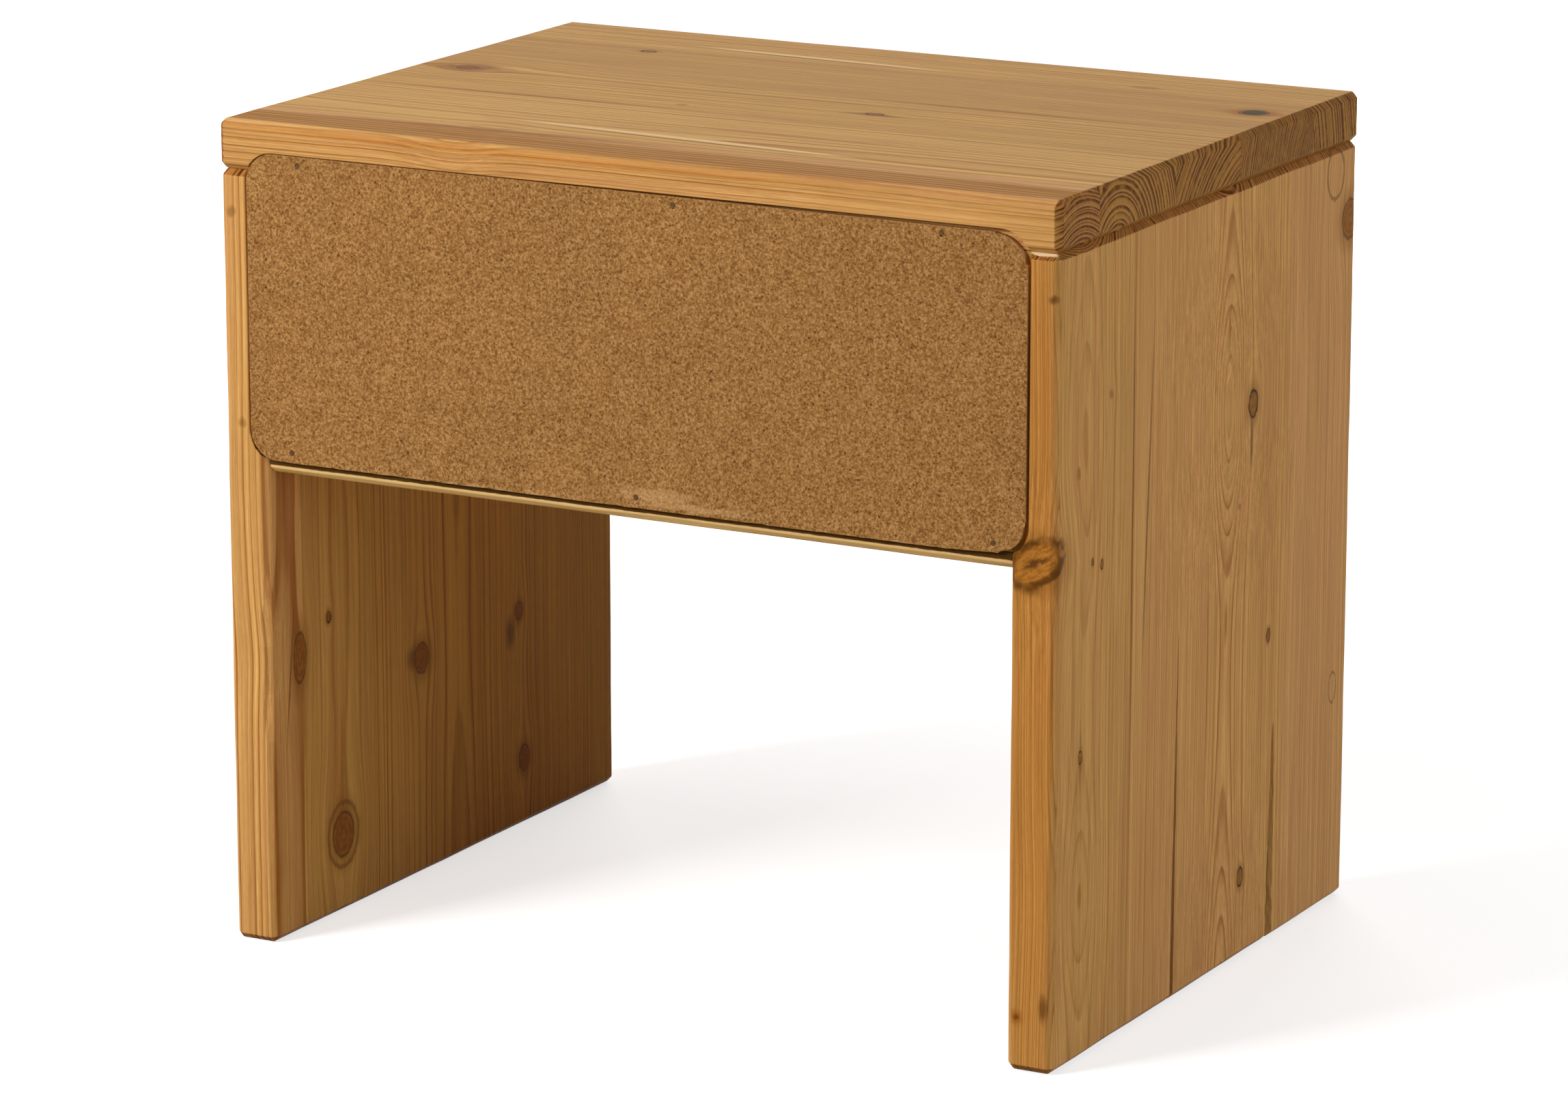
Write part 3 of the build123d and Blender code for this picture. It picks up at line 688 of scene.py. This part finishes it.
class NIGHTSTAND_OT_top_board(bpy.types.Operator):
    """Build the top board from five glued pine staves"""

    bl_idname = "nightstand.top_board"
    bl_label = "Top board"

    def execute(self, context):
        material = pine_material(
            "pine_top", U, V,
            staves=(
                (41, 22, 370, 2.0, 1.5, 0.0, (1.05, 1.08, 1.2)),
                (124, 61, 386, 3.0, 1.1, 517.0, (1.03, 1.12, 1.02)),
                (197, 222, 338, 2.9, 1.1, 1130.0, (0.955, 1.01, 0.85)),
                (283, 400, 350, 1.6, 1.25, 1710.0, (0.9, 0.935, 0.8)),
                (WHOLE, 130, 372, 2.7, 1.1, 2290.0, (0.98, 1.04, 0.9)),
            ),
            knots=(
                ("faint", (30.5, 185, 420), (15, 12, 40)),
                ("brown", (30.5, 185, 420), (6, 5, 40)),
                ("dark", (87, 273, 420), (4, 3, 40)),
                ("faint", (181.5, 141, 420), (4, 2.5, 40)),
                ("dark", (278, 163, 420), (4.5, 2.6, 20)),
                ("filled", (440, 256, 420), (7.5, 7, 9)),
            ),
            marks=(
                ("brown", (228, 55.5, 420), (120, 2.0, 6), -0.065),
                ("brown", (176, 292.5, 420), (84, 1.8, 6), -0.05),
                ("pale", (176, 296, 420), (84, 3.0, 8), -0.05),
                ("pale", (228, 60, 420), (116, 3.3, 8), -0.065),
                ("orange", (362, 296, 420), (13, 5, 12)),
                ("orange", (440, 256, 420), (26, 10, 12)),
                ("brown", (278, 161, 420), (24, 4, 12)),
                ("banded", (230, 17, 421.5), (600, 18, 3.4)),
                ("olive", (130, 34, 421), (150, 6, 3), 0.03),
                ("amber", (170, 0, 416.5), (240, 4, 2.4)),
                # Painted shadow in the gap between the back panel's top edge and its recess, along the half nearer
                # the left side board.
                ("dark", (340, 2.5, 405), (130, 1.9, 0.9)),
                ("light", (400, 0, 407), (120, 4, 14)),
                ("light", (110, 0, 401), (90, 4, 7)),
                ("olive", (100, 128, 421), (120, 3, 3), 0.02),
                ("orange", (260, 90, 421), (130, 3, 3), 0.01),
                ("olive", (330, 200, 421), (120, 3, 3), -0.01),
            ),
            bends=(
                ((133, 10, 405), (24, 40, 40), (0, 2.0, 3.4)),
                ((350, 10, 405), (60, 40, 40), (0, -2.0, -1.4)),
            ),
            sway=3.0, seam=0.86)
        board_piece("pine_top_board", "top_board", material, "cabinet", "pine_board", seed=1.0)
        return {"FINISHED"}


class NIGHTSTAND_OT_side_boards(bpy.types.Operator):
    """Build the two side boards, with the two long checks in the left one"""

    bl_idname = "nightstand.side_boards"
    bl_label = "Side boards"

    def execute(self, context):
        shape = context.scene.board_shape
        left = pine_material(
            "pine_left_side", W, V,
            staves=(
                (82, 30, 395, 1.35, 0.72, 40.0, (0.98, 0.98, 0.96)),
                (168.6, -60, 452, 2.1, 0.55, 611.0, (1.01, 0.98, 1.03)),
                (260, 190, 439, 2.3, 0.9, 1230.0, (1.05, 1.04, 1.06)),
                (WHOLE, 214, 430, 2.3, 0.55, 1804.0, (1.04, 1.02, 1.15)),
            ),
            knots=(
                ("dark", (283, 218, 459), (7, 5, 30)),
                ("dark", (160, 241, 459), (3.4, 2.2, 30)),
                ("dark", (42, 212, 459), (5, 3.4, 30)),
                ("dark", (150, 28, 459), (3.2, 2, 12)),
                ("dark", (239, 49, 459), (2.2, 1.3, 8)),
                ("dark", (242, 39, 459), (1.8, 1.1, 8)),
                ("faint", (319, 57, 459), (3, 2.4, 12)),
                ("faint", (288, 23, 459), (3.4, 2.4, 12)),
                ("faint", (234, 204, 459), (2.6, 2, 12)),
                ("brown", (356, 332, 459), (10, 9.5, 30)),
                ("orange", (248.5, -3, 449), (9.5, 13, 13)),
            ),
            marks=(
                ("brown", (264, 217, 459), (20, 2.4, 8)),
                ("orange", (178, 190, 459), (16, 2.4, 8)),
                ("orange", (326, 189, 459), (14, 2.0, 8)),
                ("brown", (150, 28, 459), (26, 0.9, 6)),
                ("brown", (374, 0, 457), (3, 5, 4)),
                ("brown", (33, 0, 455), (10, 7, 3.6)),
                ("orange", (27, 0, 441), (6, 6, 5)),
                ("brown", (27, 0, 441), (2.4, 5, 2.2)),
                ("brown", (237, 0, 446), (6, 6, 8)),
                ("oval", (382, 313, 459), (13, 10, 30)),
                ("oval", (114, 322, 459), (8, 4.5, 30)),
                # Painted shade deep inside the two checks, fading towards the outer face.
                ("dark", (84, 134, 450.5), (116, 3.4, 8.7)),
                ("dark", (44, 248, 450.5), (84, 6.2, 8.7)),
                ("cream", (394.8, 2.8, 451), (1.7, 2.4, 9)),
                ("amber", (197, 0, 448), (330, 3, 20)),
                ("light", (230, 92, LEFT_FACE), (200, 7, 3)),
                ("brown", (255, 98.5, LEFT_FACE), (124, 1.5, 3), 0.055),
                ("dusk", (200, 80, LEFT_FACE), (260, 4, 3)),
                ("brown", (240, 82, LEFT_FACE), (220, 1.2, 3)),
                ("dusk", (220, 236, LEFT_FACE), (190, 20, 3)),
                ("dusk", (200, 1, LEFT_FACE), (400, 8, 3)),
                ("dusk", (330, 0, 450), (110, 3, 20)),
                ("dark", (248, 2.5, LEFT_FACE), (6, 5, 1.5)),
                # Painted shadow in the gap between the back panel's edge and the wall of its recess.
                ("dark", (320, 2.6, 444.9), (90, 2.0, 1.1)),
            ),
            bends=(
                ((284, 190, 450), (58, 60, 99), (0, 0, -13.5)),
                ((-20, 190, 450), (72, 60, 99), (0, 0, -9.0)),
                ((300, 26, 450), (70, 40, 99), (0, 0, -2.4)),
                ((80, 24, 450), (50, 40, 99), (0, 0, -2.2)),
            ),
            sway=1.8)
        checks = [
            wedge("long_check", 132.8, 135.5, 188, shape.long_check / MM, 8.5),
            wedge("short_check", 247.3, 249, 114, shape.short_check / MM, 9.0),
        ]
        mesh = cut_with(shaped_board("left_side_board", seed=2.0), checks)
        finished_piece("pine_left_side_board", mesh, left, "left_side_board", "cabinet")

        right = pine_material(
            "pine_right_side", W, V,
            staves=(
                (30.6, 15, -22, 3.3, 1.5, 91.0, (1.1, 1.12, 1.2)),
                (95.5, 64, -6, 2.4, 0.75, 733.0, (1.01, 1.06, 0.92)),
                (265.7, 178, -34, 2.4, 1.15, 1311.0, (1.04, 1.1, 0.95)),
                (WHOLE, 100, 10, 1.7, 1.5, 1920.0, (1.08, 1.12, 1.0)),
            ),
            knots=(
                ("dark", (158, 54, 24), (3.2, 2.2, 30)),
                ("brown", (116, 142, 24), (8, 6.5, 30)),
                ("brown", (119, 240, 24), (5, 4, 30)),
                ("brown", (143, 27, 24), (13, 5.5, 14)),
                ("brown", (41, 64.5, 24), (11.5, 9.5, 30)),
                ("brown", (37, 244, 24), (7, 5.5, 30)),
                ("faint", (374, 0, 7), (3, 6, 3)),
                ("faint", (268, 0, 11), (2.6, 6, 2.4)),
            ),
            marks=(
                ("brown", (118, 136, 24), (9, 12, 14)),
                ("brown", (109, 231, 24), (13, 7, 14)),
                ("oval", (41, 64.5, 24), (17, 14, 30)),
                ("brown", (135, 18, 24), (50, 1.2, 10), 0.12),
            ),
            bends=(
                ((148, 2, 20), (26, 14, 20), (0, 0, -2.0)),
                ((250, 2, 10), (60, 14, 20), (0, 0, 1.2)),
            ),
            sway=2.6)

        def wane(place, face_axis):
            """The rear inner arris dips above and below the half knot that lies under it."""
            depth, reach, heights = 0.0024, 0.012, (0.124, 0.167)
            if face_axis != 1 or place.x > 0.215 or place.y < 0.17:
                return 0.0
            return sum(depth * math.exp(-(((place.z - height) / reach) ** 2)) for height in heights)

        board_piece("pine_right_side_board", "right_side_board", right, "cabinet", "pine_board",
                    seed=3.0, bulge=wane)
        return {"FINISHED"}


class NIGHTSTAND_OT_shelf(bpy.types.Operator):
    """Build the shelf that carries the drawer"""

    bl_idname = "nightstand.shelf"
    bl_label = "Drawer shelf"

    def execute(self, context):
        material = pine_material(
            "pine_shelf", U, V,
            staves=(
                (58, 30, 200, 2.3, 0.5, 12.0, (1.16, 1.2, 1.3)),
                (131, 90, 285, 2.6, 0.7, 655.0, (1.0, 1.0, 1.0)),
                (214, 330, 220, 2.0, 0.6, 1240.0, (0.98, 0.98, 1.0)),
                (287, 250, 225, 3.0, 0.8, 1834.0, (1.02, 1.0, 0.98)),
                (WHOLE, 300, 330, 2.4, 0.7, 2421.0, (1.0, 1.0, 1.0)),
            ),
            knots=(
                ("brown", (120, 160, 255), (9, 7, 30)),
                ("dark", (300, 240, 255), (6, 4, 30)),
                ("dark", (232, 92, 255), (4, 3, 30)),
            ),
            marks=(
                # The shelf's rear edge under the back panel: pale wood painted brighter below as painted light, and a
                # painted shadow of the panel's lower edge along its top.
                ("pale", (230, 3.5, 245.2), (WHOLE, 3, 3.2)),
                ("grime", (230, 3.5, 249.9), (WHOLE, 3, 2.6)),
            ),
            sway=3.0)
        board_piece("pine_shelf", "drawer_shelf", material, "cabinet", "pine_board", seed=4.0)
        return {"FINISHED"}


class NIGHTSTAND_OT_back_panel(bpy.types.Operator):
    """Build the hardboard panel that closes the back of the drawer space"""

    bl_idname = "nightstand.back_panel"
    bl_label = "Back panel"

    def execute(self, context):
        material = hardboard_material("hardboard_back", scuffs=(
            ((246, 0, 257.5), (30, 9, 5)),
            ((268, 0, 253.5), (46, 9, 2.8)),
            ((150, 0, 250.5), (90, 9, 1.2)),
            ((380, 0, 249.6), (110, 9, 1.0)),
        ))
        low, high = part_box("back_panel")
        middle, half = (low + high) / 2, (high - low) / 2
        corner, band = 0.0155, 0.006  # radius of the corners, and width of the band that moves in

        def set_in(place):
            """Sawn a little small, most beside the left side board and at the corner above it, and ragged."""
            off_x, off_z = place.x - middle.x, place.z - middle.z
            past_x, past_z = abs(off_x) - (half.x - corner), abs(off_z) - (half.z - corner)
            reach = math.hypot(max(past_x, 0), max(past_z, 0))
            share = max(0.0, 1 + (min(max(past_x, past_z), 0) + reach - corner) / band)
            if share == 0:
                return Vector()
            inward = Vector((-math.copysign(max(past_x, 0), off_x), 0, -math.copysign(max(past_z, 0), off_z)))
            if past_x < 0 or past_z < 0:
                inward = Vector((-math.copysign(1, off_x), 0, 0) if past_x > past_z
                                else (0, 0, -math.copysign(1, off_z)))
            left, top = -off_x / half.x, off_z / half.z
            # In metres: a little all round, more beside the left board, at both ends of it and along the top.
            amount = 0.00008 + 0.00012 * abs(noise.noise(place * 260)) + 0.0001 * noise.noise(place * 60)
            if inward.x > 0:
                amount += 0.0008
            if inward.z > 0:
                amount += 0.0005 * abs(noise.noise(place * 170))
                amount += 0.0012 * math.exp(-(((off_x + half.x - 0.012) / 0.022) ** 2))
            if inward.z < 0:
                amount += 0.001 * max(0.0, left + 0.25)
            if top > 0 and left > 0:
                amount += 0.0012 * math.exp(-(math.hypot(off_x + half.x, off_z - half.z) / 0.011) ** 2)
            return inward.normalized() * amount * share * share

        board_piece("hardboard_back_panel", "back_panel", material, "cabinet", "hardboard",
                    spacing=0.003, seed=5.0, reshape=set_in)
        return {"FINISHED"}


class NIGHTSTAND_OT_brads(bpy.types.Operator):
    """Finish the brads in the back panel, the stops and the drawer bottom"""

    bl_idname = "nightstand.brads"
    bl_label = "Brads"

    def execute(self, context):
        material = steel_material()
        repaint(material, "back_panel_brads", "drawer_stop_brads", "drawer_bottom_brads")
        return {"FINISHED"}


class NIGHTSTAND_OT_dowels(bpy.types.Operator):
    """Finish the beech dowels in every joint"""

    bl_idname = "nightstand.dowels"
    bl_label = "Dowels"

    def execute(self, context):
        material = beech_material()
        repaint(material, "top_dowels", "shelf_dowels", "drawer_front_dowels", "drawer_back_dowels")
        return {"FINISHED"}


class NIGHTSTAND_OT_stop_blocks(bpy.types.Operator):
    """Build the two blocks that stop the drawer front"""

    bl_idname = "nightstand.stop_blocks"
    bl_label = "Stop blocks"

    def execute(self, context):
        material = pine_material(
            "pine_block", U, V, staves=((WHOLE, 310, 240, 2.0, 0.8, 77.0, (1.03, 1.03, 1.03)),), sway=2.0)
        board_piece("pine_stop_blocks", "drawer_stop_blocks", material, "cabinet", "pine_block",
                    spacing=0.02, arris=0.001, seed=6.0)
        return {"FINISHED"}


class NIGHTSTAND_OT_drawer_box(bpy.types.Operator):
    """Build the drawer front, sides and back"""

    bl_idname = "nightstand.drawer_box"
    bl_label = "Drawer box"

    def execute(self, context):
        front = pine_material(
            "pine_drawer_front", U, W,
            staves=(
                (312, 300, 270, 2.4, 0.7, 33.0, (1.0, 1.0, 1.0)),
                (366, 342, 262, 2.8, 0.7, 702.0, (1.02, 1.02, 1.02)),
                (WHOLE, 430, 330, 2.2, 0.6, 1290.0, (0.97, 0.97, 0.98)),
            ),
            knots=(
                ("dark", (128, 350, 338), (7, 5, 30)),
                ("brown", (336, 292, 338), (9, 6, 30)),
                ("dark", (290, 378, 338), (3.5, 2.4, 30)),
                ("dark", (64, 300, 338), (3, 2, 30)),
            ), swells=((230, 90, -9.0),), sway=4.0)
        board_piece("pine_drawer_front", "drawer_front", front, "drawer", "pine_drawer", arris=0.002, seed=7.0)

        sides = pine_material(
            "pine_drawer_sides", V, W,
            staves=((330, 300, 90, 2.4, 0.7, 21.0, (1.04, 1.04, 1.06)),
                    (WHOLE, 362, 260, 2.1, 0.6, 660.0, (1.02, 1.02, 1.04))),
            knots=(("dark", (120, 345, 20), (5, 3.6, 30)), ("brown", (210, 300, 430), (6, 4.5, 30))), sway=4.0)
        for node, seed in (("drawer_left_side", 8.0), ("drawer_right_side", 9.0)):
            board_piece("pine_" + node, node, sides, "drawer", "pine_drawer", arris=0.001, seed=seed, wander=0.4)

        back = pine_material(
            "pine_drawer_back", U, W,
            staves=((325, 300, -30, 2.2, 0.7, 55.0, (1.03, 1.03, 1.05)),
                    (WHOLE, 370, -44, 2.6, 0.65, 810.0, (1.0, 1.0, 1.0))),
            knots=(("dark", (300, 340, 25), (5, 3.4, 30)),), sway=4.0)
        board_piece("pine_drawer_back", "drawer_back", back, "drawer", "pine_drawer",
                    arris=0.001, seed=10.0, wander=0.4)
        return {"FINISHED"}


class NIGHTSTAND_OT_drawer_bottom(bpy.types.Operator):
    """Build the hardboard bottom of the drawer"""

    bl_idname = "nightstand.drawer_bottom"
    bl_label = "Drawer bottom"

    def execute(self, context):
        material = hardboard_material("hardboard_bottom")
        board_piece("hardboard_drawer_bottom", "drawer_bottom", material, "drawer", "hardboard",
                    spacing=0.02, seed=11.0)
        return {"FINISHED"}


class NIGHTSTAND_OT_knob(bpy.types.Operator):
    """Finish the turned knob and its screw"""

    bl_idname = "nightstand.knob"
    bl_label = "Knob"

    def execute(self, context):
        material = pine_material(
            "pine_knob", V, W, staves=((WHOLE, 318, 226, 1.7, 0.8, 5.0, (1.0, 1.0, 1.0)),), sway=1.5)
        repaint(material, "drawer_knob")
        repaint(bpy.data.materials["bright_steel"], "drawer_knob_screw")
        return {"FINISHED"}


class NIGHTSTAND_OT_stage(bpy.types.Operator):
    """Set the floor, the lamps, the room light and the camera"""

    bl_idname = "nightstand.stage"
    bl_label = "Stage"

    def execute(self, context):
        scene = context.scene
        settings = scene.stage_settings

        floor_radius, drop = 9.0, 0.0002  # the floor lies just under the feet, so that no planes coincide
        work = bmesh.new()
        bmesh.ops.create_circle(work, cap_ends=True, segments=96, radius=floor_radius)
        mesh = bpy.data.meshes.new("floor")
        work.to_mesh(mesh)
        work.free()
        floor = bpy.data.objects.new("floor", mesh)
        scene.collection.objects.link(floor)
        floor.location.z = -drop
        material, g = new_material("floor_paint")
        dust = g.noise(g.bench(), (0.01, 0.01, 0.01), detail=4)
        pale = g.mix(dust, (0.60, 0.60, 0.60), (0.62, 0.62, 0.62))
        away = g.vector("LENGTH", g.vector("MULTIPLY", g.bench(), (MM, MM, 0.0)))
        glow = g.ease(away, 0.5, 2.5, 0.68, 1.0)
        shown = g.add("ShaderNodeAddShader", {
            0: g.add("ShaderNodeEmission", {0: (1.0, 1.0, 1.0), 1: glow}).outputs[0],
            1: g.add("ShaderNodeBsdfDiffuse", {0: pale}).outputs[0]})
        plain = g.add("ShaderNodeBsdfDiffuse", {0: (0.335, 0.315, 0.175)})
        both = g.add("ShaderNodeMixShader", {0: g.looked_at(), 1: plain.outputs[0], 2: shown.outputs[0]})
        g.add("ShaderNodeOutputMaterial", {0: both.outputs[0]})
        mesh.materials.append(material)

        aim = Vector((0, 0, 0.2))
        # Place, size, power, colour, and whether the lamp shows as a glare in the lacquer
        lamps = (
            ("key_lamp", (1.35, 2.2, 1.5), 0.8, settings.key_power, (1.0, 0.98, 0.95), True),
            ("side_lamp", (-2.6, 0.5, 0.65), 1.6, settings.side_power, (0.92, 0.96, 1.0), True),
            ("top_lamp", (0.1, 0.3, 2.6), 1.8, settings.top_power, (1.0, 1.0, 1.0), True),
            ("front_lamp", (0.9, -2.2, 0.6), 1.6, settings.front_power, (1.0, 0.99, 0.98), False),
        )
        for name, place, size, power, colour, glares in lamps:
            light = bpy.data.lights.new(name, "AREA")
            light.shape = "SQUARE"
            light.size = size
            light.energy = power
            light.color = colour
            lamp = bpy.data.objects.new(name, light)
            scene.collection.objects.link(lamp)
            lamp.location = place
            lamp.visible_glossy = glares
            lamp.rotation_euler = (aim - Vector(place)).to_track_quat("-Z", "Y").to_euler()

        world = bpy.data.worlds.new("room")
        world.use_nodes = True
        scene.world = world
        g = Graph(world.node_tree)
        level = g.times_plus(g.looked_at(), 1.0 - settings.room_light, settings.room_light)
        g.add("ShaderNodeOutputWorld", {0: g.add("ShaderNodeBackground", {
            0: (1.0, 1.0, 1.0), 1: level}).outputs[0]})

        camera_data = bpy.data.cameras.new("camera")
        camera_data.lens = settings.lens
        camera_data.sensor_width = SENSOR_WIDTH
        camera_data.sensor_fit = "HORIZONTAL"
        camera_data.clip_start = 0.01
        camera = bpy.data.objects.new("camera", camera_data)
        scene.collection.objects.link(camera)
        camera.location = settings.camera_place
        level_part = math.cos(settings.tilt)
        look = Vector((math.sin(settings.turn) * level_part, -math.cos(settings.turn) * level_part,
                       -math.sin(settings.tilt)))
        camera.rotation_euler = look.to_track_quat("-Z", "Y").to_euler()
        scene.camera = camera
        scene.view_settings.view_transform = "Standard"
        return {"FINISHED"}


class NIGHTSTAND_PT_build(bpy.types.Panel):
    """Lists the pieces of the nightstand and their finishes"""

    bl_idname = "NIGHTSTAND_PT_build"
    bl_label = "Nightstand"
    bl_space_type = "VIEW_3D"
    bl_region_type = "UI"
    bl_category = "Nightstand"

    def draw(self, context):
        layout = self.layout
        for operator in BUILD_ORDER:
            layout.operator(operator.bl_idname)
        for name, _ in SETTINGS:
            group = getattr(context.scene, name)
            box = layout.box()
            for key in group.__annotations__:
                box.prop(group, key)


SETTINGS = (
    ("pine_finish", PineFinish),
    ("hardboard_finish", HardboardFinish),
    ("board_shape", BoardShape),
    ("stage_settings", StageSettings),
)
BUILD_ORDER = (
    NIGHTSTAND_OT_stage,
    NIGHTSTAND_OT_top_board,
    NIGHTSTAND_OT_side_boards,
    NIGHTSTAND_OT_shelf,
    NIGHTSTAND_OT_back_panel,
    NIGHTSTAND_OT_brads,
    NIGHTSTAND_OT_dowels,
    NIGHTSTAND_OT_stop_blocks,
    NIGHTSTAND_OT_drawer_box,
    NIGHTSTAND_OT_drawer_bottom,
    NIGHTSTAND_OT_knob,
)


def register():
    for name, group in SETTINGS:
        bpy.utils.register_class(group)
        setattr(bpy.types.Scene, name, PointerProperty(type=group))
    for operator in BUILD_ORDER:
        bpy.utils.register_class(operator)
    bpy.utils.register_class(NIGHTSTAND_PT_build)


def unregister():
    bpy.utils.unregister_class(NIGHTSTAND_PT_build)
    for operator in reversed(BUILD_ORDER):
        bpy.utils.unregister_class(operator)
    for name, group in reversed(SETTINGS):
        delattr(bpy.types.Scene, name)
        bpy.utils.unregister_class(group)


def main():
    register()
    for operator in BUILD_ORDER:
        family, name = operator.bl_idname.split(".")
        getattr(getattr(bpy.ops, family), name)()


if __name__ == "__main__":
    main()
